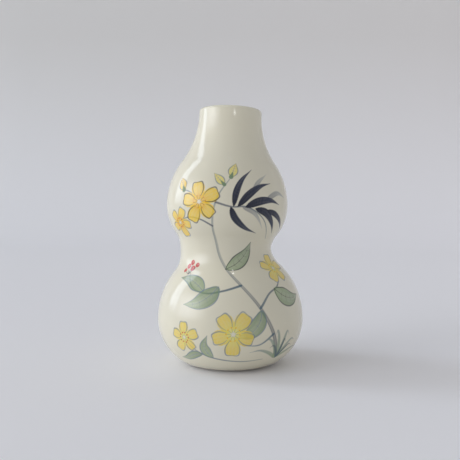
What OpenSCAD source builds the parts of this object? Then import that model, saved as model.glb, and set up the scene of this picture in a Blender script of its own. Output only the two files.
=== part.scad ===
// Gourd-shaped bud vase, thrown in two sections and luted together at the waist.
// Lengths are in millimetres and angles in degrees. The origin is on the table, under
// the middle of the belly, +Z is up and the front of the vase faces -Y.

/* [Belly] */
// Width of the belly at its widest
belly_d = 80.5; // [72:0.5:90]
// Height of the belly's widest part above the table
belly_z = 25.2; // [24:0.2:27]
// How far below the table the curve of the underside would reach if the foot ring
// didn't cut it off
underside_drop = 2; // [1.4:0.1:2.6]

/* [Waist] */
// Radius of the hollow curve round the waist
waist_curve_r = 14.3; // [12.5:0.1:16.5]

/* [Upper bulb] */
// Width of the upper bulb at its widest
bulb_d = 67; // [60:0.5:74]
// Height of the bulb's widest part above the belly's widest part
bulb_rise = 62; // [58:0.5:68]
// Radius of the curve below the bulb's widest part
bulb_under_r = 25.5; // [22:0.5:29]
// Radius of the curve above the bulb's widest part
bulb_over_r = 40; // [35:0.5:45]

/* [Neck] */
// Height of the lip above the bulb's widest part
neck_h = 52.8; // [46:0.2:60]
// Width of the neck at the lip
neck_d = 34.6; // [30:0.2:39]
// Height of the straight wall just below the rounded lip
neck_straight_h = 0.6; // [0.4:0.1:2]
// Thickness of the glazed lip, fully rounded over the top
lip_t = 3.5; // [3:0.1:4]

/* [Lean] */
// How far the shoulder leans to the left as it rises
shoulder_lean = 4; // [0:0.5:5]
// How far the upper section leans back to the right
upper_lean = 2.1; // [0:0.1:4]

/* [Wall] */
// Thickness of the fired clay wall
wall_t = 3.2; // [2.6:0.1:3.6]
// Thickness of the clay floor
floor_t = 5; // [4:0.25:6]
// Thickness of the glaze on both faces
glaze_t = 0.4; // [0.3:0.05:0.5]

/* [Foot] */
// Outside width of the turned foot ring
foot_d = 43; // [40:0.5:45]
// Width of the foot ring's wall
foot_ring_w = 4.2; // [3:0.2:6]
// Height of the bare foot ring below the belly
foot_h = 1.2; // [1:0.1:1.8]
// Rounding of the foot ring's two edges
foot_edge_r = 0.5; // [0.3:0.05:0.6]
// Depth of the recess turned inside the ring
recess_h = 2.6; // [2:0.1:3.2]
// How far the foot ring sits to the right of the belly's middle
foot_shift = 1.4; // [0:0.1:1.6]
// Height of the glaze line above the table
glaze_line_z = 2.2; // [2:0.1:3]

/* [Waist joint] */
// Height of the lap between the two sections
lap_h = 4.4; // [3:0.2:5]
// Thickness of the slip that fills the joint
slip_t = 0.5; // [0.3:0.05:0.7]

/* [Hidden] */
$fn = 96;

belly_r = belly_d / 2;
bulb_r = bulb_d / 2;
neck_r = neck_d / 2;
mouth_r = neck_r - lip_t;
foot_r = foot_d / 2;

// A size larger than the vase, for the pieces that only cut
beyond = 2 * (belly_z + bulb_rise + neck_h);

// Where a hollow curve meets a round or a straight one it cuts this much into it, so
// that the two always cross
crossing = 0.0005;

// Depths below the finished outer face: the clay's outside, the clay's inside and
// the finished inner face
clay_out = glaze_t;
clay_in = glaze_t + wall_t;
inner_face = clay_in + glaze_t;

// The shoulder is a ball about the belly's middle. The waist curve touches the ball
// and the curve under the bulb, so its centre lies where two circles cross. Points
// are [distance from the axis, height above the belly's middle].
underside_r = belly_z + underside_drop;
bulb_under_x = bulb_r - bulb_under_r;
ball_to_waist = belly_r + waist_curve_r;
bulb_to_waist = bulb_under_r + waist_curve_r;
ball_to_bulb = norm([bulb_under_x, bulb_rise]);
along = (ball_to_waist ^ 2 - bulb_to_waist ^ 2 + ball_to_bulb ^ 2) / (2 * ball_to_bulb);
across = sqrt(ball_to_waist ^ 2 - along ^ 2);
waist_x = (bulb_under_x * along + bulb_rise * across) / ball_to_bulb;
waist_z = (bulb_rise * along - bulb_under_x * across) / ball_to_bulb;
throat_r = waist_x - waist_curve_r;

// Heights in the upper section are taken from the waist
bulb_z = bulb_rise - waist_z;
lip_z = bulb_z + neck_h;
lip_r = lip_t / 2;
lip_x = neck_r - lip_r;
lip_centre_z = lip_z - lip_r;

// The hollow neck curve touches the curve above the bulb's widest part, and ends
// upright at the neck's radius. Its radius follows from those two ends.
bulb_over_x = bulb_r - bulb_over_r;
neck_z = lip_centre_z - neck_straight_h;
neck_rise = neck_z - bulb_z;
neck_in = neck_r - bulb_over_x;
neck_curve_r = (neck_in ^ 2 + neck_rise ^ 2 - bulb_over_r ^ 2) / (2 * (bulb_over_r - neck_in));
neck_x = neck_r + neck_curve_r;
over_to_neck = bulb_over_r + neck_curve_r;

// The joint lies square to the mean of the two axes
joint_lean = (upper_lean - shoulder_lean) / 2;
step_r = throat_r - clay_out - wall_t / 2;

// Where one curve hands over to the next, at a given depth below the outer face
function shoulder_top(depth) = (belly_r - depth) * waist_z / ball_to_waist;
function waist_top(depth) = bulb_z - (bulb_under_r - depth) * bulb_z / bulb_to_waist;
function bulb_top(depth) = bulb_z + (bulb_over_r - depth) * neck_rise / over_to_neck;

// A rectangle from one corner to the other
module block_2d(low, high) {
    translate(low) square([high.x - low.x, high.y - low.y]);
}

// Everything nearer the axis than a hollow curve, between two heights
module inside_hollow(centre, radius, low_z, high_z) {
    difference() {
        block_2d([0, low_z], [centre.x, high_z]);
        translate(centre) circle(r = radius + crossing);
    }
}

// Everything nearer the axis than a full curve, between two heights
module inside_round(centre, radius, low_z, high_z) {
    intersection() {
        union() {
            translate(centre) circle(r = radius);
            if (centre.x > 0) block_2d([0, centre.y - radius], [centre.x, centre.y + radius]);
        }
        block_2d([0, low_z], [centre.x + 2 * radius, high_z]);
    }
}

// Belly from a level floor up to its widest part
module belly_2d(depth, floor_z) {
    inside_round([belly_r - underside_r, 0], underside_r - depth, floor_z - belly_z, 0);
}

// Shoulder from the belly's widest part to a little past the waist's throat
module shoulder_2d(depth) {
    inside_round([0, 0], belly_r - depth, -lap_h, waist_z);
    inside_hollow([waist_x, waist_z], waist_curve_r + depth, shoulder_top(depth), waist_z + lap_h);
}

// Upper section from a little below the waist's throat to the end of the neck curve.
// The round curves run on inside the hollow ones, where they add nothing.
module upper_2d(depth) {
    inside_hollow([waist_x, 0], waist_curve_r + depth, -lap_h, waist_top(depth));
    inside_round([bulb_under_x, bulb_z], bulb_under_r - depth, 0, bulb_z + lap_h);
    inside_round([bulb_over_x, bulb_z], bulb_over_r - depth, bulb_z, lip_z);
    inside_hollow([neck_x, neck_z], neck_curve_r + depth, bulb_top(depth), neck_z);
}

// Upper section without its hollow: upright at the lip, rounded at its outer edge and
// level over the mouth
module upper_solid_2d(depth) {
    upper_2d(depth);
    block_2d([0, bulb_z], [neck_r - depth, lip_centre_z]);
    block_2d([0, bulb_z], [lip_x, lip_z - depth]);
    translate([lip_x, lip_centre_z]) circle(r = lip_r - depth);
}

// Hollow of the upper section: straight through the mouth, then flared over the
// rounded lip
module upper_hollow_2d(depth) {
    skin = inner_face - depth;
    upper_2d(depth);
    block_2d([0, bulb_z], [mouth_r + skin, lip_centre_z]);
    difference() {
        block_2d([0, bulb_z], [lip_x, lip_z + lip_r]);
        block_2d([mouth_r, 0], [neck_r, lip_centre_z]);
        translate([lip_x, lip_centre_z]) circle(r = lip_r - skin);
    }
}

// Frames that the pieces are turned in. The belly and the shoulder turn by equal and
// opposite angles out of the frame midway between them, so their ball faces meet.
module at_belly(side) {
    half_lean = shoulder_lean / 2;
    translate([0, 0, belly_z]) rotate([0, -half_lean, 0]) rotate([0, side * half_lean, 0]) children();
}

module at_waist(lean) {
    at_belly(-1) translate([0, 0, waist_z]) rotate([0, shoulder_lean + lean, 0]) children();
}

// All that lies above a level plane
module above() {
    translate([-beyond / 2, -beyond / 2, 0]) cube(beyond);
}

module below() {
    mirror([0, 0, 1]) above();
}

// Coat or wall between two depths, from a foot height up to the lip. The children are
// the upper section's outline.
module shell(outer_depth, inner_depth, foot_z, floor_z) {
    at_belly(1) rotate_extrude() difference() {
        belly_2d(outer_depth, foot_z);
        belly_2d(inner_depth, floor_z);
    }
    intersection() {
        at_belly(-1) rotate_extrude() difference() {
            shoulder_2d(outer_depth);
            shoulder_2d(inner_depth);
        }
        translate([0, 0, belly_z]) above();
        at_waist(joint_lean) below();
    }
    intersection() {
        at_waist(upper_lean) rotate_extrude() children();
        at_waist(joint_lean) above();
    }
}

// The clay wall of both sections before it is parted at the waist
module clay_wall() {
    shell(clay_out, clay_in, foot_h, foot_h + floor_t) difference() {
        upper_solid_2d(clay_out);
        upper_hollow_2d(clay_in);
    }
}

// What lies below the lapped joint: the lower section's inner edge stands up inside
// the upper section's outer edge
module below_lap() {
    low = -lap_h / 2 - slip_t / 2;
    high = lap_h / 2 - slip_t / 2;
    radius = step_r - slip_t / 2;
    at_waist(joint_lean) rotate_extrude() {
        block_2d([0, -beyond / 2], [beyond / 2, low]);
        block_2d([0, -beyond / 2], [radius, high]);
    }
}

// What lies above the lapped joint
module above_lap() {
    low = -lap_h / 2 + slip_t / 2;
    high = lap_h / 2 + slip_t / 2;
    radius = step_r + slip_t / 2;
    at_waist(joint_lean) rotate_extrude() {
        block_2d([0, high], [beyond / 2, beyond / 2]);
        block_2d([radius, low], [beyond / 2, beyond / 2]);
    }
}

// Turned foot ring with both edges rounded. It runs up into the clay floor.
module foot_ring() {
    inside_r = foot_r - foot_ring_w;
    top_z = foot_h + floor_t / 2;
    translate([foot_shift, 0, 0]) rotate_extrude() {
        block_2d([inside_r, foot_edge_r], [foot_r, top_z]);
        block_2d([inside_r + foot_edge_r, 0], [foot_r - foot_edge_r, top_z]);
        translate([inside_r + foot_edge_r, foot_edge_r]) circle(r = foot_edge_r);
        translate([foot_r - foot_edge_r, foot_edge_r]) circle(r = foot_edge_r);
    }
}

// Recess turned into the floor inside the foot ring
module foot_recess() {
    translate([foot_shift, 0, 0]) cylinder(r = foot_r - foot_ring_w, h = recess_h);
}

module lower_section() {
    color("tan")
    union() {
        difference() {
            intersection() {
                clay_wall();
                below_lap();
            }
            foot_recess();
        }
        foot_ring();
    }
}

module upper_section() {
    color("burlywood")
    intersection() {
        clay_wall();
        above_lap();
    }
}

module joint_slip() {
    color("sienna")
    difference() {
        clay_wall();
        below_lap();
        above_lap();
    }
}

module outer_glaze() {
    color("ivory")
    shell(0, clay_out, glaze_line_z, 0) difference() {
        upper_solid_2d(0);
        upper_solid_2d(clay_out);
        block_2d([0, bulb_z], [lip_x, beyond]);
    }
}

module liner_glaze() {
    color("floralwhite")
    shell(clay_in, inner_face, foot_h + floor_t, foot_h + floor_t + glaze_t) difference() {
        upper_hollow_2d(clay_in);
        upper_hollow_2d(inner_face);
    }
}

lower_section();
upper_section();
joint_slip();
outer_glaze();
liner_glaze();
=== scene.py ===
import math

import bmesh
import bpy
import numpy as np
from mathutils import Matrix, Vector


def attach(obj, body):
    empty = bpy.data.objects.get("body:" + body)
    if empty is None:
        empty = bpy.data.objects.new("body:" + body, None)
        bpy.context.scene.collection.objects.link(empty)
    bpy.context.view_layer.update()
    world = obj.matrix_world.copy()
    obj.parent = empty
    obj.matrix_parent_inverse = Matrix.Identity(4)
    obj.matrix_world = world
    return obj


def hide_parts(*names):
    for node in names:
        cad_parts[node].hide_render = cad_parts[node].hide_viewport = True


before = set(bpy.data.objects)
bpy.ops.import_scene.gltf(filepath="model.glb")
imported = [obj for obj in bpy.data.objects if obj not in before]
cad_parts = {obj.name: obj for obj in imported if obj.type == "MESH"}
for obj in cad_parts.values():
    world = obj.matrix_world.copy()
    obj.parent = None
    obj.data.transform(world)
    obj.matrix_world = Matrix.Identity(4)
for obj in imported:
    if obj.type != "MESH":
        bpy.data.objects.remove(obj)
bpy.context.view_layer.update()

MM = 0.001
FAR = 1e9
TINY = 1e-9

# Sizes of the vase in millimetres, the same as in the solids. Points of a profile are
# [distance from the axis, height].
BELLY_R = 40.25
BELLY_Z = 25.2
UNDERSIDE_R = 27.2
WAIST_CURVE_R = 14.3
BULB_R = 33.5
BULB_RISE = 62.0
BULB_UNDER_R = 25.5
BULB_OVER_R = 40.0
NECK_H = 52.8
NECK_R = 17.3
NECK_STRAIGHT_H = 0.6
LIP_T = 3.5
SHOULDER_LEAN = math.radians(-4.0)
UPPER_LEAN = math.radians(2.1)
WALL_T = 3.2
GLAZE_T = 0.4
FLOOR_TOP_Z = 6.6
GLAZE_LINE_Z = 2.2

# The glaze coat as it is drawn here, in millimetres. Its rings end CENTRE_R from the
# middle of the floor, and its lean turns over BLEND_H to each side of the waist. A profile
# is sampled every SAMPLE, and a direction of the face is taken between two probes.
INNER_FACE = GLAZE_T + WALL_T + GLAZE_T
COAT_T = 0.34
EDGE_DROP = 0.15
EDGE_POINTS = 9
FLOOR_FILLET_R = 3.0
CENTRE_R = 0.4
BLEND_H = 5.0
SAMPLE = 0.05
LEAST_STEP = SAMPLE / 50
PROBE_S = 0.2
PROBE_TURN = 0.004

# Throwing marks. A wave has its share of the depth, its times round the vase, its
# millimetres a radian and its phase. The rings draw together and apart as they rise.
RIPPLE_DEPTH = 0.06
RIPPLE_WAVES = ((0.30, 1, 6.1 / math.tau, 0.0), (0.25, 2, 11.0, 0.8), (0.20, 3, -17.0, 2.1))
RING_SHARE = 0.25
RING_REACH = 4.3
RING_DRIFT = 1.3
RING_DRIFT_REACH = 29.0
LIP_CALM = 6.0

# The coat's mesh: columns round it, steps between its rows in millimetres with the zones
# where they are finer, and its seam in degrees
COLUMNS = 256
ROW_STEP = 0.95
INNER_STEP = 2.2
HIDDEN_STEP = 3.5
LIP_STEP = 0.35
HIDDEN_LIP_STEP = 3 * LIP_STEP
EDGE_STEP = 0.09
EDGE_ZONE = 2 * COAT_T
PAINT_ZONE = 3 * COAT_T
REFINE_WITHIN = (0.95, 0.42)
LEAST_R = 1.0
SEAM_DEG = -118.0
SEAM_SLACK = 0.01
SEAM_BAND = 1.0

# Materials. Scales are repeats a metre, depths are metres.
POOL_SCALE = 38
POOL_TINT = (0.955, 0.965, 0.985)
POOL_FROM, POOL_TO = 0.3, 0.7
HAZE_SCALE = 150
GLAZE_ROUGHNESS = (0.07, 0.13)
GLAZE_IOR = 1.5
PEEL_SCALE = 420
PEEL_STRENGTH = 0.35
PEEL_DEPTH = 0.00004
BODY_SCALE = 260
BODY_NOISE_ROUGHNESS = 0.7
BODY_FROM, BODY_TO = 0.3, 0.72
CLAY_ROUGHNESS = 0.82
GRAIN_SCALE = 2600
GRAIN_STRENGTH = 0.5
GRAIN_DEPTH = 0.00008
PAPER_ROUGHNESS = 0.7
PAPER_SPECULAR = 0.3

# Studio, in metres
FLOOR_FRONT = 2.0
FLOOR_BACK = 1.1
FLOOR_HALF_W = 2.4
SWEEP_R = 0.6
SWEEP_STEPS = 12
SWEEP_TOP = 2.2
PAPER_SPREAD = 0.7
# The paper's colours hold painted shade: darker to the left and higher up, where the lights fall on it
# most
PAPER_LEFT_SHADED = (0.79, 0.79, 0.80)
PAPER_RIGHT = (0.955, 0.945, 0.962)
PAPER_HIGH_SHADED = (0.82, 0.805, 0.765)
ROOM_LEFT = (0.54, 0.545, 0.565)
ROOM_MIDDLE = (0.335, 0.335, 0.34)
ROOM_RIGHT = (0.47, 0.475, 0.50)
ROOM_FRONT = (0.75, 0.75, 0.75)
ROOM_BACK = (1.06, 1.06, 1.06)
ROOM_LOW = (1.46, 1.46, 1.46)
CEILING = (1.02, 1.02, 1.02)
BACKDROP = (0.56, 0.565, 0.60)
WHITE = (1, 1, 1)
WINDOW_PLACE = (-3.8, 1.06, 3.0)
WINDOW_SIZE = (1.5, 6.0)
WINDOW_FADE = 0.15
WINDOW_RADIANCE = 3.0
DAYLIGHT_PLACE = (-3.9, -1.5, 1.2)
DAYLIGHT_SIZE = (6.3, 4.5)
DAYLIGHT_FADE = 0.5
DAYLIGHT_RADIANCE = 4.0
DAYLIGHT = (0.96, 0.985, 1.06)
SKYLIGHT = (0.88, 0.975, 1.13)
LAMP_PLACE = (0.0956, -0.339, 1.53)
LAMP_AIM = (0, 0, 0.05)
LAMP_SIZE = (0.026, 0.026)
LAMP_POWER = 0.19
SNOOT_PLACE = (0.095, -0.345, 0.216)
SNOOT_AIM = (0.003, -0.0171, 0.1385)
SNOOT_RADIUS = 0.018
SNOOT_POWER = 0.125
SNOOT_DEG = 9.0
SNOOT_BLEND = 0.6
CAMERA_LENS = 45.4
CAMERA_SENSOR = 36
CAMERA_PLACE = (-0.0002, -0.3238, 0.0819)
CAMERA_TILT = 88.49

# Sizes that follow from those of the vase
UNDER_X = BULB_R - BULB_UNDER_R
OVER_X = BULB_R - BULB_OVER_R
TO_BALL = BELLY_R + WAIST_CURVE_R
TO_BULB = BULB_UNDER_R + WAIST_CURVE_R


def waist_centre():
    """Centre of the hollow curve that touches the belly's ball and the upper bulb."""
    apart = math.hypot(UNDER_X, BULB_RISE)
    along = (TO_BALL ** 2 - TO_BULB ** 2 + apart ** 2) / (2 * apart)
    across = math.sqrt(TO_BALL ** 2 - along ** 2)
    x = (UNDER_X * along + BULB_RISE * across) / apart
    return x, (BULB_RISE * along - UNDER_X * across) / apart


WAIST_X, WAIST_H = waist_centre()
WAIST_AT = (WAIST_H * math.sin(SHOULDER_LEAN), BELLY_Z + WAIST_H * math.cos(SHOULDER_LEAN))
BULB_Z = BULB_RISE - WAIST_H
LIP_R = LIP_T / 2
LIP_X = NECK_R - LIP_R
LIP_Z = BULB_Z + NECK_H - LIP_R
LIP_ZONE = 4.5 * LIP_R
NECK_Z = LIP_Z - NECK_STRAIGHT_H
NECK_IN = NECK_R - OVER_X
NECK_RISE = NECK_Z - BULB_Z
NECK_CURVE_R = (NECK_IN ** 2 + NECK_RISE ** 2 - BULB_OVER_R ** 2) / (2 * (BULB_OVER_R - NECK_IN))
NECK_X = NECK_R + NECK_CURVE_R


# The profile of the coat


def eased(share):
    """A share from 0 to 1 with a slow start and a slow end."""
    return share * share * (3 - 2 * share)


def arc(centre, radius, start, end):
    """Points along an arc, from one angle to another in radians."""
    count = max(3, int(radius * abs(end - start) / SAMPLE))
    angle = np.linspace(start, end, count)
    return np.stack([centre[0] + radius * np.cos(angle), centre[1] + radius * np.sin(angle)], 1)


def straight(start, end):
    """Points along a straight line."""
    count = max(2, int(math.dist(start, end) / SAMPLE))
    return np.linspace(start, end, count)


def stations(points, lean, centre):
    """Rings of a profile about one leaning axis: the ring's middle, lean and radius."""
    axis = np.array([math.sin(lean), math.cos(lean)])
    middle = np.array(centre) + points[:, 1:2] * axis
    return np.column_stack([middle, np.full(len(points), lean), points[:, 0]])


def ball_stations(radius, lean, shoulder_h):
    """Rings on the belly's ball, which lean more and more up to the shoulder's lean."""
    end = math.acos(shoulder_h / BELLY_R)
    polar = np.linspace(math.pi / 2, end, int(radius * (math.pi / 2 - end) / SAMPLE))
    tilt = lean * eased((math.pi / 2 - polar) / (math.pi / 2 - end))
    rise = radius * np.cos(polar)
    middle = [rise * np.sin(tilt), BELLY_Z + rise * np.cos(tilt)]
    return np.column_stack([*middle, tilt, radius * np.sin(polar)])


def waist_stations(depth, lower_h, upper_h):
    """Rings round the waist. The lean turns smoothly to that of the upper section."""
    height = np.linspace(lower_h, upper_h, int((upper_h - lower_h) / SAMPLE))
    share = np.clip((height + BLEND_H) / (2 * BLEND_H), 0, 1)
    tilt = SHOULDER_LEAN + (UPPER_LEAN - SHOULDER_LEAN) * eased(share)
    step = np.diff(height, prepend=height[0])
    x = WAIST_AT[0] + height[0] * math.sin(SHOULDER_LEAN) + np.cumsum(step * np.sin(tilt))
    z = WAIST_AT[1] + height[0] * math.cos(SHOULDER_LEAN) + np.cumsum(step * np.cos(tilt))
    radius = WAIST_X - np.sqrt((WAIST_CURVE_R + depth) ** 2 - height ** 2)
    return np.column_stack([x, z, tilt, radius])


def wall_stations(depth, floor):
    """Rings up one face of the wall, from the floor's profile to the end of the neck curve."""
    shoulder_h = BELLY_R * WAIST_H / TO_BALL
    lower_h = (BELLY_R - depth) * WAIST_H / TO_BALL - WAIST_H
    upper_h = BULB_Z - (BULB_UNDER_R - depth) * BULB_Z / TO_BULB
    under_start = math.atan2(-BULB_Z, WAIST_X - UNDER_X)
    over_end = math.atan2(NECK_RISE, NECK_X - OVER_X)
    upper = np.vstack([
        arc((UNDER_X, BULB_Z), BULB_UNDER_R - depth, under_start, 0),
        arc((OVER_X, BULB_Z), BULB_OVER_R - depth, 0, over_end),
        arc((NECK_X, NECK_Z), NECK_CURVE_R + depth, math.pi + over_end, math.pi),
    ])
    return np.vstack([
        stations(floor, 0, (0, BELLY_Z)),
        ball_stations(BELLY_R - depth, SHOULDER_LEAN, shoulder_h),
        waist_stations(depth, lower_h, upper_h),
        stations(upper, UPPER_LEAN, WAIST_AT),
    ])


def lip_stations(depth):
    """Rings over the rounded lip, from the neck's outside to the mouth's inside."""
    lip = [
        straight((NECK_R - depth, NECK_Z), (NECK_R - depth, LIP_Z)),
        arc((LIP_X, LIP_Z), LIP_R - depth, 0, math.pi),
    ]
    return stations(np.vstack(lip), UPPER_LEAN, WAIST_AT)


def outer_floor(depth):
    """The underside's curve, from the glaze line to the belly's middle."""
    radius = UNDERSIDE_R - depth
    start = math.asin((GLAZE_LINE_Z - BELLY_Z) / radius)
    return arc((BELLY_R - UNDERSIDE_R, 0), radius, start, 0)


def inner_floor(depth, top_z):
    """Level floor, a fillet where the glaze pools, and the belly's curve."""
    radius = UNDERSIDE_R - depth
    level = top_z - BELLY_Z
    middle_h = level + FLOOR_FILLET_R
    middle_x = math.sqrt((radius - FLOOR_FILLET_R) ** 2 - middle_h ** 2)
    turn = math.atan2(middle_h, middle_x)
    centre_x = BELLY_R - UNDERSIDE_R
    return np.vstack([
        straight((CENTRE_R, level), (centre_x + middle_x, level)),
        arc((centre_x + middle_x, middle_h), FLOOR_FILLET_R, -math.pi / 2, turn),
        arc((centre_x, 0), radius, turn, 0),
    ])


def inner_wall(depth, top_z):
    """Rings down the inside of the wall, from the mouth to the middle of the floor."""
    rings = wall_stations(depth, inner_floor(depth, top_z))
    # The neck's inside would come out narrower than the mouth, so it stops where they meet
    mouth_r = NECK_R - LIP_T + INNER_FACE - depth
    neck = rings[:, 1] > BELLY_Z + BULB_RISE
    return rings[~(neck & (rings[:, 3] < mouth_r))][::-1]


def skin(depth):
    """Rings of one skin of the coat, from the glaze line over the lip to the floor."""
    return np.vstack([
        wall_stations(depth, outer_floor(depth)),
        lip_stations(depth),
        inner_wall(INNER_FACE - depth, FLOOR_TOP_Z - depth),
    ])


def glaze_edge(back, face):
    """Rounded edge of the coat at the glaze line, from its hidden back to its face."""
    angle = np.linspace(math.pi, 0, EDGE_POINTS)[1:-1]
    x = (face[3] + back[3]) / 2 + (face[3] - back[3]) / 2 * np.cos(angle)
    drop = -EDGE_DROP * np.sin(angle)
    return stations(np.stack([x, GLAZE_LINE_Z - BELLY_Z + drop], 1), 0, (0, BELLY_Z))


def steps_between(rings):
    """Distance from each ring to the next, by their middles and radii."""
    return np.linalg.norm(np.diff(rings[:, [0, 1, 3]], axis=0), axis=1)


def joined(*runs):
    """Runs of rings as one, without doubles, and with the distance along the profile first."""
    rings = np.vstack(runs)
    rings = rings[np.concatenate([[True], steps_between(rings) > LEAST_STEP])]
    return np.column_stack([np.concatenate([[0], np.cumsum(steps_between(rings))]), rings])


BACK_RINGS = skin(COAT_T)[::-1]
FACE_RINGS = skin(0)
EDGE_RINGS = glaze_edge(BACK_RINGS[-1], FACE_RINGS[0])

# The whole profile: distance along it, then each ring's middle, lean and radius. It runs
# along the hidden back from the middle of the floor over the lip to the foot, round the
# edge there, and along the face the same way back.
PATH, MIDDLE_X, MIDDLE_Z, LEAN, RADIUS = joined(BACK_RINGS, EDGE_RINGS, FACE_RINGS).T
OFF_START = np.abs(MIDDLE_Z - GLAZE_LINE_Z) + np.abs(RADIUS - FACE_RINGS[0, 3])
FACE_START = PATH[np.argmin(OFF_START)]
FRONT = PATH > FACE_START - SAMPLE
CREST = PATH[FRONT][np.argmax(MIDDLE_Z[FRONT])]
RISING = FRONT & (PATH <= CREST)


def ripple(s, turn):
    """Throwing marks and small unevenness, as a depth below the true face."""
    wave = RING_SHARE * np.sin(s / RING_REACH + RING_DRIFT * np.sin(s / RING_DRIFT_REACH))
    for share, times, reach, phase in RIPPLE_WAVES:
        wave = wave + share * np.sin(times * turn + s / reach + phase)
    calm = np.clip(np.abs(s - CREST) / LIP_CALM, 0, 1) * np.clip((s - FACE_START) / LIP_CALM, 0, 1)
    return RIPPLE_DEPTH / 2 * (1 + wave) * calm


def surface(s, turn):
    """Points of the coat at distances s along the profile and turns from the front."""
    x, z, lean, radius = (np.interp(s, PATH, of) for of in (MIDDLE_X, MIDDLE_Z, LEAN, RADIUS))
    radius = radius - np.where(s < CREST, 1, -1) * ripple(s, turn)
    out = radius * np.sin(turn)
    return np.stack([x + out * np.cos(lean), -radius * np.cos(turn), z - out * np.sin(lean)], -1)


def normals(s, turn):
    """Outward directions of the coat's face."""
    ahead = surface(np.minimum(s + PROBE_S, PATH[-1]), turn)
    behind = surface(np.maximum(s - PROBE_S, 0), turn)
    right = surface(s, turn + PROBE_TURN)
    left = surface(s, turn - PROBE_TURN)
    out = np.cross(right - left, ahead - behind)
    return out / np.maximum(np.linalg.norm(out, axis=-1, keepdims=True), TINY)


# The painting. A stroke is a run of points [degrees round from the front, distance along
# the profile] with a half-width at each, laid on as one brush mark.


def linear(red, green, blue):
    """Colour for a shader from the 0 to 255 values of a picture, by the sRGB curve."""
    c = np.array([red, green, blue]) / 255
    return np.where(c <= 0.04045, c / 12.92, ((c + 0.055) / 1.055) ** 2.4)


IVORY = linear(227, 221, 198)
INDIGO = linear(15, 22, 42)
SLATE = linear(48, 58, 82)
INK = linear(104, 106, 112)
TEAL = linear(76, 104, 118)
LINE = linear(122, 136, 152)
GOLD = linear(238, 186, 4)
DEEP_GOLD = linear(214, 140, 0)
BRIGHT_GOLD = linear(246, 206, 34)
PALE = linear(232, 224, 120)
WARM_PALE = linear(236, 208, 72)
SAGE = linear(158, 176, 134)
DEEP_SAGE = linear(112, 138, 104)
RED = linear(196, 44, 44)
PINK = linear(226, 178, 166)
CLAY_DARK = linear(226, 219, 203)
CLAY_PALE = linear(241, 236, 223)
SLIP_DARK = linear(140, 118, 96)
SLIP_PALE = linear(172, 150, 124)

# Brushes: millimetres over which the edge of a stroke fades, how streaky the wash is, and
# how much it thins from the rim to the middle
FINE_PEN = (0.22, 0, 0)
PEN = (0.25, 0, 0)
SOFT_PEN = (0.3, 0, 0)
TENDRIL = (0.35, 0, 0)
TWIG = (0.35, 0.4, 0)
LOW_TWIG = (0.35, 0.3, 0)
BACK_TWIG = (0.4, 0.5, 0)
BOUGH = (0.45, 0.55, 0.35)
PALE_INK = (0.45, 0.5, 0)
DARK_INK = (0.3, 0.12, 0)
LEAF_WASH = (0.4, 0.25, 0.25)
PETAL_WASH = (0.5, 0.2, 0.14)
BERRY_WASH = (0.35, 0, 0.12)

# Strokes: knots for each point, millimetres within which the mesh is measured against
# them, and streaks in radians a millimetre across and radians along
KNOTS_A_POINT = 5
LEAST_KNOTS = 6
REFINE_REACH = 2.0
RIM_LEAST_W = 0.1
HAIR_WAVES = (9.0, 5.3)
HAIR_RUN = 3

# Leaves: knots and fullness of the outline, then shares of the half-width and line widths
LEAF_KNOTS = 13
LEAF_BELLY = 0.75
SLIM_BELLY = 0.6
BLADE_BELLY = 0.55
LEAF_POINT = 1.15
LEAF_LEAST_W = 0.08
BLADE_LEAST_W = 0.1
LEAF_OUTLINE = 1.03
LEAF_OUTLINE_W = (0.12, 0.3, 0.26, 0.08)
LEAF_RIB_KNOTS = 11
LEAF_RIB_W = (0.22, 0.16, 0.06)
SIDE_RIBS = range(3, 10, 2)
SIDE_RIB_OUT = 0.72
SIDE_RIB_AHEAD = 0.25
SIDE_RIB_W = (0.13, 0.05)
CALYX_SHARE = 0.35
CALYX_TIP_W = 0.15
BLADE_ARCH = ((0, 0), (0.3, 0.6), (0.68, 0.98), (1, 0.86))

# Berries, in millimetres, with the glint as shares of the berry's radius
STALK_ROOT = (-1.5, -3.5)
STALK_BEND = (-0.8, -1.8)
STALK_W = (0.22, 0.16, 0.14)
BERRY_L = 0.15
GLINT_FROM, GLINT_TO = 0.3, 0.35
GLINT_W = 0.25

# Flowers: shares of the flower's radius, of a petal's reach and of the way to the next
# one. The beats make petals and stamens uneven.
PETALS = 5
PETAL_HALF_W = 0.62
PETAL_ROOT = 0.2
PETAL_UNEVEN = 0.07
PETAL_BEAT = 2.3
PETAL_W = (0.3, 0.8, 1)
PETAL_EDGE = (
    (-0.75, 0.32, 0), (-0.72, 0, 0.68), (-0.4, 0, 0.98), (0, -0.06, 1.03),
    (0.42, 0, 0.99), (0.72, 0, 0.66), (0.75, 0.36, 0),
)
PETAL_EDGE_W = (0.12, 0.3, 0.36, 0.2, 0.34, 0.26, 0.1)
VEIN_LEANS = (-0.16, 0, 0.16)
VEIN_FROM, VEIN_TO = 0.3, 0.62
VEIN_SPREAD = 1.3
VEIN_W = (0.12, 0.04)
STAMEN_TURN = 0.3
STAMEN_FROM, STAMEN_TO = 0.1, 0.3
STAMEN_UNEVEN = 0.06
STAMEN_BEAT = 3.1
STAMEN_W = (0.12, 0.1)
ANTHER_L = 0.1
ANTHER_W = (0.32, 0.34)

STROKES = []


def smooth_run(points, count):
    """Even run of points through given ones, straight or on a Catmull-Rom curve."""
    p = np.array(points, float)
    if len(p) == 2:
        return p[0] + np.linspace(0, 1, count)[:, None] * (p[1] - p[0])
    p = np.vstack([2 * p[0] - p[1], p, 2 * p[-1] - p[-2]])
    at = np.linspace(0, len(p) - 3, count)
    k = np.minimum(at.astype(int), len(p) - 4)
    f = (at - k)[:, None]
    a, b, c, d = p[k], p[k + 1], p[k + 2], p[k + 3]
    bend = (2 * a - 5 * b + 4 * c - d) * f ** 2 + (3 * b - a - 3 * c + d) * f ** 3
    return 0.5 * (2 * b + (c - a) * f + bend)


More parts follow.
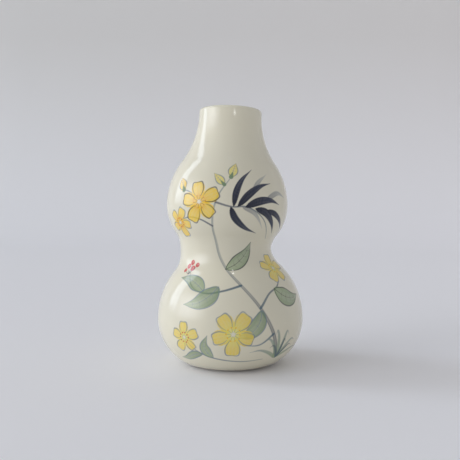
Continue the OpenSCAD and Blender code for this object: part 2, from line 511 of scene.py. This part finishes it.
def climb(z):
    """Distance along the profile at which the face reaches a height."""
    return float(np.interp(z, MIDDLE_Z[RISING], PATH[RISING]))


def lay(points, widths, brush, colour, strength=1.0, tip=None):
    """Adds a stroke through points. Its strength and its colour may change towards the tip."""
    count = max(LEAST_KNOTS, KNOTS_A_POINT * len(points))
    share = np.linspace(0, 1, count)
    strength = np.atleast_1d(strength)
    soft, streak, rim = brush
    STROKES.append(dict(
        run=smooth_run(points, count),
        share=share,
        width=np.interp(share, np.linspace(0, 1, len(widths)), widths),
        strength=np.interp(share, np.linspace(0, 1, len(strength)), strength),
        colour=np.array(colour),
        tip=np.array(colour if tip is None else tip),
        soft=soft,
        streak=streak,
        rim=rim,
    ))


def limb(points, *how):
    """A stroke through points [degrees round the vase, height], for the long branches."""
    lay([(turn, climb(z)) for turn, z in points], *how)


class Spot:
    """A place on the vase. Strokes round it go by millimetres to the right and up."""

    def __init__(self, turn, z):
        self.turn = turn
        self.s = climb(z)

    def at(self, u, v):
        """Turn, and distance along the profile, of a point u to the right and v up."""
        s = self.s + v
        return self.turn + math.degrees(u / np.interp(s, PATH, RADIUS)), s

    def mark(self, points, *how):
        """A stroke through points given from this place."""
        lay([self.at(*p) for p in points], *how)


def way_round(start, end):
    """Degrees from one turn to another, the shorter way round."""
    return (end - start + 180) % 360 - 180


def between(values, k, f):
    """Value a share f of the way from one knot to the next."""
    return values[k] + f * (values[k + 1] - values[k])


def stroke_gap(stroke, turn, s, radius):
    """How far points lie outside a stroke's edge, its half-width there, how far along it
    they are, and how far to one side of its middle."""
    best = np.full(len(s), FAR)
    width, along, side = np.zeros((3, len(s)))
    scale = radius * math.pi / 180
    knots = [np.stack([way_round(turn, k_turn) * scale, k_s - s], 1) for k_turn, k_s in stroke["run"]]
    for k, (a, b) in enumerate(zip(knots, knots[1:])):
        d = b - a
        f = np.clip(-(a * d).sum(1) / np.maximum((d * d).sum(1), TINY), 0, 1)
        w = between(stroke["width"], k, f)
        near = a + d * f[:, None]
        gap = np.hypot(near[:, 0], near[:, 1]) - w
        closer = gap < best
        best[closer] = gap[closer]
        width[closer] = w[closer]
        along[closer] = between(stroke["share"], k, f)[closer]
        cross = (d[:, 0] * near[:, 1] - d[:, 1] * near[:, 0]) / np.maximum(np.hypot(*d.T), TINY)
        side[closer] = cross[closer]
    return best, width, along, side


def within_reach(stroke, turn, s, radius, spare):
    """Which points lie near enough to a stroke to be worth measuring."""
    turns, heights = stroke["run"].T
    spread = stroke["width"].max() + spare
    middle = (turns.min() + turns.max()) / 2
    half = (turns.max() - turns.min()) / 2
    level = (s > heights.min() - spread) & (s < heights.max() + spread)
    return np.nonzero(level & (np.abs(way_round(middle, turn)) < half + np.degrees(spread / radius)))[0]


def edge_distance(turn, s, radius):
    """Distance of each point from the nearest edge of a stroke, where it is small."""
    out = np.full(len(s), FAR)
    for stroke in STROKES:
        near = within_reach(stroke, turn, s, radius, REFINE_REACH)
        if len(near):
            gap, *_ = stroke_gap(stroke, turn[near], s[near], radius[near])
            out[near] = np.minimum(out[near], np.abs(gap))
    return out


def paint(turn, s, radius):
    """Colour of the face at each point: the glaze with every stroke laid on it in turn."""
    colour = np.tile(IVORY, (len(s), 1))
    for number, stroke in enumerate(STROKES):
        near = within_reach(stroke, turn, s, radius, stroke["soft"])
        if not len(near):
            continue
        gap, width, along, side = stroke_gap(stroke, turn[near], s[near], radius[near])
        cover = eased(np.clip(0.5 - gap / stroke["soft"], 0, 1))
        strength = np.interp(along, stroke["share"], stroke["strength"])
        if stroke["streak"]:
            wide = np.sin(side * HAIR_WAVES[0] + number)
            hair = wide * np.sin(side * HAIR_WAVES[1] + HAIR_RUN * along + 2 * number)
            strength = strength * (1 - stroke["streak"] * np.clip(0.5 + hair, 0, 1) * along)
        if stroke["rim"]:
            deep = np.clip(-gap / np.maximum(width, RIM_LEAST_W), 0, 1)
            strength = strength * (1 - stroke["rim"] * deep)
        fill = stroke["colour"] + (stroke["tip"] - stroke["colour"]) * along[:, None]
        alpha = (cover * np.clip(strength, 0, 1))[:, None]
        colour[near] = colour[near] * (1 - alpha) + fill * alpha
    return colour


# Motifs


def leaf_widths(half_w, belly=LEAF_BELLY, least=0):
    """Half-widths of a leaf from its base to its tip, fullest before the middle."""
    t = np.linspace(0, 1, LEAF_KNOTS)
    return np.maximum(half_w * np.sin(math.pi * t ** belly) ** LEAF_POINT, least)


def leaf(spot, rib, half_w, fill, tip, outline):
    """A filled leaf that grows from its spot along its midrib, with an outline and ribs."""
    rib = [(0, 0), *rib]
    spot.mark(rib, leaf_widths(half_w, least=LEAF_LEAST_W), LEAF_WASH, fill, 0.9, tip)
    run = smooth_run(rib, LEAF_KNOTS)
    ahead = np.gradient(run, axis=0)
    ahead = ahead / np.linalg.norm(ahead, axis=1, keepdims=True)
    across = np.stack([-ahead[:, 1], ahead[:, 0]], 1)
    width = leaf_widths(half_w)
    for side in (-1, 1):
        edge = run + side * LEAF_OUTLINE * width[:, None] * across
        spot.mark(edge, LEAF_OUTLINE_W, PEN, outline, [0.9, 0.6])
    spot.mark(run[:LEAF_RIB_KNOTS], LEAF_RIB_W, PEN, outline, [0.7, 0.5])
    for k in SIDE_RIBS:
        for side in (-1, 1):
            out = SIDE_RIB_OUT * side * width[k] * across[k] + SIDE_RIB_AHEAD * half_w * ahead[k]
            spot.mark([run[k], run[k] + out], SIDE_RIB_W, FINE_PEN, outline, [0.5, 0.25])


def blossom(spot, radius, fill, tip, outline, turn, heart=GOLD):
    """An open flower: broad petals, a thin outline round each, and a ring of stamens."""
    def place(angle, r):
        """Point at an angle and a distance from the flower's middle."""
        return r * math.cos(angle), r * math.sin(angle)

    spread = math.pi / PETALS
    half = radius * math.sin(spread) * PETAL_HALF_W
    petals = [
        (turn + 2 * spread * k, radius * (1 + PETAL_UNEVEN * math.sin(PETAL_BEAT * k + 1)))
        for k in range(PETALS)
    ]
    for angle, reach in petals:
        ends = [place(angle, PETAL_ROOT * radius), place(angle, reach - half)]
        spot.mark(ends, [share * half for share in PETAL_W], PETAL_WASH, fill, [0.97, 0.9], tip)
        for lean in VEIN_LEANS:
            start = place(angle + lean, VEIN_FROM * radius)
            end = place(angle + VEIN_SPREAD * lean, (VEIN_TO - abs(lean)) * radius)
            spot.mark([start, end], VEIN_W, PEN, heart, [0.5, 0.2])
    for angle, reach in petals:
        edge = [
            place(angle + side * spread, of_radius * radius + of_reach * reach)
            for side, of_radius, of_reach in PETAL_EDGE
        ]
        spot.mark(edge, PETAL_EDGE_W, PEN, outline, [0.85, 0.6])
    for k in range(2 * PETALS):
        angle = turn + STAMEN_TURN + spread * k
        out = radius * (STAMEN_TO + STAMEN_UNEVEN * math.sin(STAMEN_BEAT * k))
        root, end = place(angle, STAMEN_FROM * radius), place(angle, out)
        spot.mark([root, end], STAMEN_W, FINE_PEN, outline, 0.7)
        spot.mark([end, place(angle, out + ANTHER_L)], ANTHER_W, PEN, heart, 0.95)


def bud(spot, tip_at, half_w, fill, tip, outline):
    """A closed flower from its spot to its tip, in a green calyx."""
    u, v = tip_at
    leaf(spot, [(u / 2, v / 2), tip_at], half_w, fill, tip, outline)
    calyx = [(0, 0), (CALYX_SHARE * u, CALYX_SHARE * v)]
    spot.mark(calyx, [0.5 * half_w, CALYX_TIP_W], SOFT_PEN, DEEP_SAGE, 0.9)


def blades(spot, tips, half_w, fill, tip):
    """A tuft of narrow arching blades from one root."""
    widths = leaf_widths(half_w, BLADE_BELLY, BLADE_LEAST_W)
    for u, v in tips:
        arch = [(across * u, up * v) for across, up in BLADE_ARCH]
        spot.mark(arch, widths, TWIG, fill, [0.9, 0.7], tip)


# The design, in the order in which it is painted. Later strokes lie over earlier ones.


def branches():
    """The branch that climbs the front, and its twigs."""
    limb([(40, 9), (33, 22), (23, 35), (11, 46), (-1, 55), (-9, 64), (-13, 76), (-9, 90), (3, 101)],
         [1.15, 1.0, 0.8, 0.75, 0.6, 0.6, 0.5, 0.4, 0.15], BOUGH, INK, [0.95, 0.75, 0.85], TEAL)
    limb([(23, 35), (33, 41), (45, 44), (55, 49)], [0.6, 0.45, 0.4, 0.15], TWIG, TEAL, 0.85, INK)
    limb([(11, 46), (-4, 44), (-19, 43), (-32, 46), (-41, 53)],
         [0.6, 0.5, 0.45, 0.35, 0.15], LOW_TWIG, TEAL, 0.9, INK)
    limb([(-13, 76), (-24, 79), (-36, 80), (-49, 78)], [0.5, 0.4, 0.35, 0.2], TWIG, INK, 0.9, TEAL)
    limb([(-28, 90), (-36, 93), (-43, 94)], [0.35, 0.3, 0.2], TENDRIL, TEAL, 0.85, LINE)
    limb([(28, 8.5), (8, 8), (-14, 10), (-28, 14), (-35, 19)],
         [0.2, 0.4, 0.45, 0.35, 0.15], TWIG, TEAL, [0.5, 0.9, 0.85], LINE)
    limb([(-10, 88), (4, 86), (19, 86), (36, 80), (50, 70)],
         [0.5, 0.45, 0.35, 0.25, 0.1], TWIG, INK, 0.9, TEAL)
    limb([(33, 22), (22, 17), (10, 17)], [0.6, 0.4, 0.15], TWIG, TEAL, 0.8, LINE)


def golden_flowers():
    """Flowers and a bud on the left of the upper bulb."""
    blossom(Spot(-25, 88), 10.6, GOLD, BRIGHT_GOLD, INDIGO, 0.5, DEEP_GOLD)
    blossom(Spot(-50, 77), 8.0, GOLD, BRIGHT_GOLD, LINE, 1.1, RED)
    bud(Spot(-43, 94), (-3.5, 6.5), 2.6, BRIGHT_GOLD, GOLD, LINE)


def ink_leaves():
    """Slender leaves on the right of the upper bulb, pale ones under dark ones."""
    spot = Spot(22, 88)
    for rib, half_w in (
        ([(0, 4), (4, 11), (10, 16)], 1.3),
        ([(-5, -2), (2, -5), (8, -13)], 1.2),
        ([(8, 2), (17, 6), (25, 4)], 1.4),
    ):
        widths = leaf_widths(half_w, SLIM_BELLY, LEAF_LEAST_W)
        spot.mark(rib, widths, PALE_INK, INK, [0.7, 0.5], LINE)
    for rib, half_w in (
        ([(-7.5, -2), (-1.5, 4.5), (5, 9), (12, 11)], 1.9),
        ([(-3.5, -2), (4.5, 1.3), (12, 2), (19, 0)], 2.1),
        ([(2, -2.5), (9, -4.5), (14, -9.5), (17, -16)], 2.0),
        ([(-9.5, -2), (-8, 6), (-4.5, 12.5), (1, 18)], 1.7),
        ([(-11, -2), (-8, -8), (-2, -13), (5, -16)], 1.8),
        ([(9, -3), (16, -5), (22, -9), (26, -15)], 1.5),
    ):
        widths = leaf_widths(half_w, SLIM_BELLY, LEAF_LEAST_W)
        spot.mark(rib, widths, DARK_INK, INDIGO, 1.0, SLATE)


def sage_leaves():
    """Leaves over the waist and the belly."""
    for turn, z, rib, half_w, fill, tip, outline in (
        (-21, 44, [(-4, 4), (-9, 7), (-16, 8)], 4.0, SAGE, DEEP_SAGE, LINE),
        (-8, 46, [(-5, -5), (-12, -9), (-20, -10)], 4.3, DEEP_SAGE, SAGE, LINE),
        (-1, 54, [(6, 3), (11, 8), (14, 15)], 3.6, SAGE, DEEP_SAGE, INDIGO),
        (40, 43, [(5, -4), (12, -6), (20, -5)], 4.2, SAGE, DEEP_SAGE, INDIGO),
        (-14, 10, [(-3, 4), (-4, 8), (-2, 13)], 2.6, SAGE, DEEP_SAGE, LINE),
        (-22, 12, [(-5, -1), (-10, -4), (-15, -5)], 2.2, DEEP_SAGE, SAGE, LINE),
        (24, 34, [(-2, -6), (-7, -11), (-14, -13)], 3.8, DEEP_SAGE, SAGE, LINE),
    ):
        leaf(Spot(turn, z), rib, half_w, fill, tip, outline)


def pale_flowers():
    """Pale flowers on the waist and the belly, and two buds at the branch's end."""
    blossom(Spot(55, 52), 8.8, PALE, WARM_PALE, LINE, 0.2)
    blossom(Spot(2, 23), 11.4, PALE, WARM_PALE, LINE, 0.9)
    blossom(Spot(-36, 20), 8.2, PALE, WARM_PALE, LINE, 0.35, RED)
    bud(Spot(3, 101), (2.4, 8.0), 2.3, PALE, WARM_PALE, LINE)
    bud(Spot(-3, 97), (-5.5, 6.0), 2.0, PALE, WARM_PALE, LINE)


def grass():
    """Two tufts at the foot of the branch."""
    tall = [(-17, 7), (-11, 13), (-4, 17), (6, 16), (13, 11), (19, 5)]
    blades(Spot(41, 8), tall, 1.0, SAGE, LINE)
    blades(Spot(42, 8), [(-7, 9), (3, 12), (10, 8)], 0.8, TEAL, INK)


def berries():
    """A cluster of red berries, each on its stalk and with a glint."""
    spot = Spot(-40, 55)
    for u, v, r in (
        (0, 0, 1.5), (-3.2, 1.2, 1.35), (-1.0, 3.2, 1.3), (2.6, 1.9, 1.2), (-5.2, -1.2, 1.1),
    ):
        bend = (u / 2 + STALK_BEND[0], v / 2 + STALK_BEND[1])
        glint = [(u + share * r, v + share * r) for share in (GLINT_FROM, GLINT_TO)]
        spot.mark([STALK_ROOT, bend, (u, v)], STALK_W, PEN, INK, 0.8)
        spot.mark([(u, v), (u + BERRY_L, v + BERRY_L)], [r, r], BERRY_WASH, RED, 0.95)
        spot.mark(glint, [GLINT_W, GLINT_W], SOFT_PEN, PINK, 0.8)


def back_spray():
    """One small spray on the back."""
    limb([(168, 26), (176, 40), (178, 52), (170, 62)],
         [0.8, 0.6, 0.45, 0.12], BACK_TWIG, INK, [0.9, 0.75], TEAL)
    leaf(Spot(176, 40), [(6, 4), (11, 10), (13, 17)], 3.6, SAGE, DEEP_SAGE, LINE)
    leaf(Spot(174, 36), [(-6, 3), (-12, 5), (-19, 4)], 3.8, DEEP_SAGE, SAGE, LINE)
    blossom(Spot(169, 64), 7.4, GOLD, BRIGHT_GOLD, LINE, 0.7, DEEP_GOLD)


branches()
golden_flowers()
ink_leaves()
sage_leaves()
pale_flowers()
grass()
berries()
back_spray()

# The mesh of the coat. It starts as a flat sheet, one way round the vase and one way
# along the profile, which is cut finer along the painted edges and then wrapped.


def new_object(name, data):
    """A new object in the scene."""
    made = bpy.data.objects.new(name, data)
    bpy.context.collection.objects.link(made)
    return made


def row_stops():
    """Where the rows of the coat lie along the profile."""
    hidden = PATH < FACE_START
    back_crest = PATH[hidden][np.argmax(MIDDLE_Z[hidden])]
    step = np.where(hidden, HIDDEN_STEP, np.where(PATH > CREST, INNER_STEP, ROW_STEP))
    for middle, zone, zone_step in (
        (FACE_START, EDGE_ZONE, EDGE_STEP),
        (CREST, LIP_ZONE, LIP_STEP),
        (back_crest, LIP_ZONE, HIDDEN_LIP_STEP),
    ):
        step = np.where(np.abs(PATH - middle) < zone, zone_step, step)
    count = np.concatenate([[0], np.cumsum(np.diff(PATH) / step[1:])])
    return np.interp(np.linspace(0, count[-1], int(round(count[-1])) + 1), count, PATH)


def flat_sheet(stops):
    """The sheet, with a row of points at each stop and a column for each step round."""
    bm = bmesh.new()
    width = 360 / COLUMNS
    rows = [[bm.verts.new((k * width, s, 0)) for k in range(COLUMNS + 1)] for s in stops]
    for low, high in zip(rows, rows[1:]):
        for k in range(COLUMNS):
            bm.faces.new((low[k], low[k + 1], high[k + 1], high[k]))
    return bm


def sheet_places(bm):
    """Turn, distance along the profile and radius that each point of the sheet stands for."""
    flat = np.array([v.co[:] for v in bm.verts])
    radius = np.interp(flat[:, 1], PATH, RADIUS)
    return flat[:, 0] + SEAM_DEG, flat[:, 1], np.maximum(radius, LEAST_R)


def seam_sides(turn, within):
    """Which points lie within some degrees of the seam, after it and before it."""
    return turn < SEAM_DEG + within, turn > SEAM_DEG + 360 - within


def refine(bm, within):
    """Cuts each face in four where an edge of the painting passes near it."""
    turn, s, radius = sheet_places(bm)
    gap = np.full(len(s), FAR)
    face_side = (s > FACE_START) & (s < CREST + LIP_CALM)
    gap[face_side] = edge_distance(turn[face_side], s[face_side], radius[face_side])
    seam = np.logical_or(*seam_sides(turn, SEAM_BAND))
    bm.verts.index_update()
    marked = set()
    for f in bm.faces:
        ids = [v.index for v in f.verts]
        if gap[ids].min() < within and not seam[ids].any():
            marked.update(f.edges)
    bmesh.ops.subdivide_edges(bm, edges=list(marked), cuts=1, use_grid_fill=True, use_single_edge=True)


def wrap(bm, turn, s, colours):
    """Wraps the sheet round the vase, and keeps the face's direction and paint at each point."""
    angle = np.radians(turn)
    for v, place in zip(bm.verts, surface(s, angle) * MM):
        v.co = place
    directions = bm.verts.layers.float_vector.new("out")
    painting = bm.verts.layers.float_color.new("paint")
    for v, direction, colour in zip(bm.verts, normals(s, angle), colours):
        v[directions] = direction
        v[painting] = (*colour, 1)
    return directions, painting


def close_coat(bm, turn, s, directions, painting):
    """Welds the seam, and closes the middle of the floor on both skins of the coat."""
    bm.verts.ensure_lookup_table()
    ends = [[v for k, v in enumerate(bm.verts) if s[k] == stop] for stop in (s.min(), s.max())]
    sides = [np.nonzero(side)[0] for side in seam_sides(turn, SEAM_SLACK)]
    after, before = ([bm.verts[k] for k in side[np.argsort(s[side])].tolist()] for side in sides)
    bmesh.ops.weld_verts(bm, targetmap=dict(zip(before, after)))
    for ring in ends:
        ring = [v for v in ring if v.is_valid]
        middle = bm.verts.new(sum((v.co for v in ring), Vector()) / len(ring))
        middle[directions] = sum((v[directions] for v in ring), Vector()) / len(ring)
        middle[painting] = (*IVORY, 1)
        for e in {e for v in ring for e in v.link_edges if e.is_boundary}:
            bm.faces.new((e.verts[0], e.verts[1], middle))
    bmesh.ops.recalc_face_normals(bm, faces=bm.faces)


def coat_mesh(bm):
    """The finished mesh, shaded by the directions of the face."""
    mesh = bpy.data.meshes.new("glaze_coat")
    bm.to_mesh(mesh)
    bm.free()
    directions = np.zeros(3 * len(mesh.vertices), np.float32)
    mesh.attributes["out"].data.foreach_get("vector", directions)
    mesh.attributes.remove(mesh.attributes["out"])
    mesh.shade_smooth()
    mesh.normals_split_custom_set_from_vertices(directions.reshape(-1, 3))
    return mesh


def build_coat():
    """The painted coat of glaze."""
    bm = flat_sheet(row_stops())
    for within in REFINE_WITHIN:
        refine(bm, within)
    turn, s, radius = sheet_places(bm)
    colours = np.tile(IVORY, (len(s), 1))
    shown = s > FACE_START - PAINT_ZONE
    colours[shown] = paint(turn[shown], s[shown], radius[shown])
    layers = wrap(bm, turn, s, colours)
    close_coat(bm, turn, s, *layers)
    return new_object("glaze_coat", coat_mesh(bm))


# Materials


def feed(tree, node, inputs):
    """Sets inputs of a node, each to a value or to another node's output."""
    for name, value in inputs.items():
        if isinstance(value, bpy.types.NodeSocket):
            tree.links.new(value, node.inputs[name])
        else:
            node.inputs[name].default_value = value


def add(tree, kind, inputs=None):
    """A new node with its inputs set."""
    node = tree.nodes.new(kind)
    feed(tree, node, inputs or {})
    return node


def reckoned(tree, operation, first, second):
    """A sum of two numbers or outputs, such as their MAXIMUM."""
    node = tree.nodes.new("ShaderNodeMath")
    node.operation = operation
    feed(tree, node, {0: first, 1: second})
    return node.outputs["Value"]


def multiplied(tree, first, second):
    """The product of two colours."""
    node = tree.nodes.new("ShaderNodeMix")
    node.data_type = "RGBA"
    node.blend_type = "MULTIPLY"
    feed(tree, node, {"Factor": 1, "A": first, "B": second})
    return node.outputs["Result"]


def noise(tree, scale, detail, roughness=0.5):
    """A noise over the object's own coordinates, in repeats a metre."""
    place = add(tree, "ShaderNodeTexCoord").outputs["Object"]
    inputs = {"Vector": place, "Scale": scale, "Detail": detail, "Roughness": roughness}
    return add(tree, "ShaderNodeTexNoise", inputs).outputs["Fac"]


def ramp(tree, source, stops):
    """A colour for each value of a source, from stops [value, colour]."""
    node = add(tree, "ShaderNodeValToRGB", {"Fac": source})
    elements = node.color_ramp.elements
    while len(elements) < len(stops):
        elements.new(0.5)
    for element, (place, colour) in zip(elements, stops):
        element.position = place
        element.color = (*colour, 1)
    return node.outputs["Color"]


def bump(tree, source, strength, distance):
    """Small unevenness of a surface."""
    inputs = {"Height": source, "Strength": strength, "Distance": distance}
    return add(tree, "ShaderNodeBump", inputs).outputs["Normal"]


def new_material(name):
    """A new material, its nodes and its shader."""
    material = bpy.data.materials.new(name)
    material.use_nodes = True
    tree = material.node_tree
    tree.nodes.clear()
    shader = add(tree, "ShaderNodeBsdfPrincipled")
    add(tree, "ShaderNodeOutputMaterial", {"Surface": shader.outputs["BSDF"]})
    return material, tree, shader


def glaze_material():
    """The painted glaze: cooler where it pools, and glossy with a faint orange peel."""
    material, tree, shader = new_material("glaze")
    painted = add(tree, "ShaderNodeAttribute")
    painted.attribute_name = "paint"
    pool = ramp(tree, noise(tree, POOL_SCALE, detail=3), [(POOL_FROM, POOL_TINT), (POOL_TO, WHITE)])
    smooth, hazy = GLAZE_ROUGHNESS
    haze = {"Value": noise(tree, HAZE_SCALE, detail=2), "To Min": smooth, "To Max": hazy}
    feed(tree, shader, {
        "Base Color": multiplied(tree, painted.outputs["Color"], pool),
        "Roughness": add(tree, "ShaderNodeMapRange", haze).outputs["Result"],
        "IOR": GLAZE_IOR,
        "Normal": bump(tree, noise(tree, PEEL_SCALE, detail=2), PEEL_STRENGTH, PEEL_DEPTH),
    })
    return material


def clay_material(name, dark, pale):
    """Matt fired clay, mottled and grainy."""
    material, tree, shader = new_material(name)
    body = noise(tree, BODY_SCALE, detail=6, roughness=BODY_NOISE_ROUGHNESS)
    feed(tree, shader, {
        "Base Color": ramp(tree, body, [(BODY_FROM, dark), (BODY_TO, pale)]),
        "Roughness": CLAY_ROUGHNESS,
        "Normal": bump(tree, noise(tree, GRAIN_SCALE, detail=3), GRAIN_STRENGTH, GRAIN_DEPTH),
    })
    return material


def paper_material():
    """Backdrop paper, paler to the right and warmer higher up: painted shade, darker to the left and
    higher up, where the lights fall on the paper most.
    """
    material, tree, shader = new_material("paper")
    place = add(tree, "ShaderNodeTexCoord").outputs["Object"]
    split = add(tree, "ShaderNodeSeparateXYZ", {"Vector": place})
    across = add(tree, "ShaderNodeMapRange", {
        "Value": split.outputs["X"], "From Min": -PAPER_SPREAD, "From Max": PAPER_SPREAD,
    })
    # Painted shade: darker to the left, where the lights fall on the paper most
    shade_across = ramp(tree, across.outputs["Result"], [(0, PAPER_LEFT_SHADED), (1, PAPER_RIGHT)])
    # Painted shade: darker and warmer higher up, where the bluish daylight falls on the backdrop most
    fade = ramp(tree, split.outputs["Z"], [(0, WHITE), (PAPER_SPREAD, PAPER_HIGH_SHADED)])
    feed(tree, shader, {
        "Base Color": multiplied(tree, shade_across, fade),
        "Roughness": PAPER_ROUGHNESS,
        "Specular IOR Level": PAPER_SPECULAR,
    })
    return material


def dress(name, material):
    """Gives a solid of the frame its material."""
    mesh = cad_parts[name].data
    mesh.materials.clear()
    mesh.materials.append(material)


clay = clay_material("clay", CLAY_DARK, CLAY_PALE)
slip = clay_material("slip", SLIP_DARK, SLIP_PALE)
dress("lower_section", clay)
dress("upper_section", clay)
dress("joint_slip", slip)
dress("outer_glaze", clay)
dress("liner_glaze", clay)

coat = build_coat()
coat.data.materials.append(glaze_material())
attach(coat, "root")
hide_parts("outer_glaze", "liner_glaze")

# Floor and backdrop


def sweep():
    """A level floor that curves up into an upright backdrop."""
    profile = [(-FLOOR_FRONT, 0), (FLOOR_BACK, 0)]
    for turn in np.linspace(0, math.pi / 2, SWEEP_STEPS + 1)[1:]:
        profile.append((FLOOR_BACK + SWEEP_R * math.sin(turn), SWEEP_R * (1 - math.cos(turn))))
    profile.append((FLOOR_BACK + SWEEP_R, SWEEP_TOP))
    bm = bmesh.new()
    rows = [[bm.verts.new((side * FLOOR_HALF_W, y, z)) for side in (-1, 1)] for y, z in profile]
    for low, high in zip(rows, rows[1:]):
        bm.faces.new((low[0], low[1], high[1], high[0]))
    mesh = bpy.data.meshes.new("studio_sweep")
    bm.to_mesh(mesh)
    bm.free()
    mesh.shade_smooth()
    mesh.materials.append(paper_material())
    return new_object("studio_sweep", mesh)


floor = sweep()

# Lights: broad soft daylight from the left with a tall window in it, a small lamp for the
# glint on the shoulder, a narrow one for the glint below the lip, and a pale room


def hang(name, data, place, aim):
    """Puts a light in its place, pointed at its aim."""
    light = new_object(name, data)
    light.location = place
    light.rotation_euler = (Vector(aim) - Vector(place)).to_track_quat("-Z", "Y").to_euler()


def area_light(name, place, aim, size, power, colour=WHITE):
    """A rectangle of light."""
    data = bpy.data.lights.new(name, "AREA")
    data.shape = "RECTANGLE"
    data.size, data.size_y = size
    data.energy = power
    data.color = colour
    hang(name, data, place, aim)
    return data


def soften(data, fade):
    """Fades an area light towards its edges, so that the glaze shows no hard border."""
    data.use_nodes = True
    tree = data.node_tree
    place = add(tree, "ShaderNodeNewGeometry").outputs["Parametric"]
    split = add(tree, "ShaderNodeSeparateXYZ", {"Vector": place})
    faded = []
    for axis in ("X", "Y"):
        from_start = split.outputs[axis]
        from_end = reckoned(tree, "SUBTRACT", 1, from_start)
        edge = tree.nodes.new("ShaderNodeMapRange")
        edge.interpolation_type = "SMOOTHSTEP"
        feed(tree, edge, {"Value": reckoned(tree, "MINIMUM", from_start, from_end), "From Max": fade})
        faded.append(edge.outputs["Result"])
    feed(tree, tree.nodes["Emission"], {"Strength": reckoned(tree, "MULTIPLY", *faded)})


def window(name, place, size, radiance, fade, colour):
    """A softened light that looks level across the vase's axis."""
    # An area light's radiance is its power over pi and its area
    power = radiance * math.pi * size[0] * size[1]
    soften(area_light(name, place, (0, 0, place[2]), size, power, colour), fade)


def snoot():
    """A narrow lamp on the neck alone, for the catch light below the lip."""
    data = bpy.data.lights.new("snoot", "SPOT")
    data.energy = SNOOT_POWER
    data.shadow_soft_size = SNOOT_RADIUS
    data.spot_size = math.radians(SNOOT_DEG)
    data.spot_blend = SNOOT_BLEND
    hang("snoot", data, SNOOT_PLACE, SNOOT_AIM)


def room():
    """A pale room, lighter at both sides than between them, behind the vase and low down."""
    world = bpy.data.worlds.new("room")
    bpy.context.scene.world = world
    world.use_nodes = True
    tree = world.node_tree
    place = add(tree, "ShaderNodeTexCoord").outputs["Generated"]
    split = add(tree, "ShaderNodeSeparateXYZ", {"Vector": place})

    def across(axis, stops):
        """Colours from one end of an axis, at 0, to the other, at 1."""
        spread = add(tree, "ShaderNodeMapRange", {"Value": split.outputs[axis], "From Min": -1})
        return ramp(tree, spread.outputs["Result"], stops)

    sides = across("X", [(0, ROOM_LEFT), (0.5, ROOM_MIDDLE), (1, ROOM_RIGHT)])
    depth = across("Y", [(0, ROOM_FRONT), (0.5, ROOM_BACK)])
    rise = across("Z", [(0.5, ROOM_LOW), (1, CEILING)])
    lit = tree.nodes["Background"]
    feed(tree, lit, {"Color": multiplied(tree, multiplied(tree, sides, depth), rise)})

    # What the camera and the glaze see past the backdrop is as pale as the backdrop
    rays = add(tree, "ShaderNodeLightPath")
    seen = rays.outputs["Is Camera Ray"]
    for kind in ("Is Transmission Ray", "Is Glossy Ray"):
        seen = reckoned(tree, "MAXIMUM", seen, rays.outputs[kind])
    pale = add(tree, "ShaderNodeBackground", {"Color": (*BACKDROP, 1)})
    choice = add(tree, "ShaderNodeMixShader", {
        "Fac": seen, 1: lit.outputs["Background"], 2: pale.outputs["Background"],
    })
    feed(tree, tree.nodes["World Output"], {"Surface": choice.outputs["Shader"]})


window("window", WINDOW_PLACE, WINDOW_SIZE, WINDOW_RADIANCE, WINDOW_FADE, SKYLIGHT)
window("daylight", DAYLIGHT_PLACE, DAYLIGHT_SIZE, DAYLIGHT_RADIANCE, DAYLIGHT_FADE, DAYLIGHT)
area_light("lamp", LAMP_PLACE, LAMP_AIM, LAMP_SIZE, LAMP_POWER)
snoot()
room()


def set_camera():
    """Camera, fitted to the photograph's outline."""
    data = bpy.data.cameras.new("camera")
    data.lens = CAMERA_LENS
    data.sensor_width = CAMERA_SENSOR
    camera = new_object("camera", data)
    camera.location = CAMERA_PLACE
    camera.rotation_euler = (math.radians(CAMERA_TILT), 0, 0)
    bpy.context.scene.camera = camera


set_camera()
bpy.context.scene.view_settings.view_transform = "Standard"
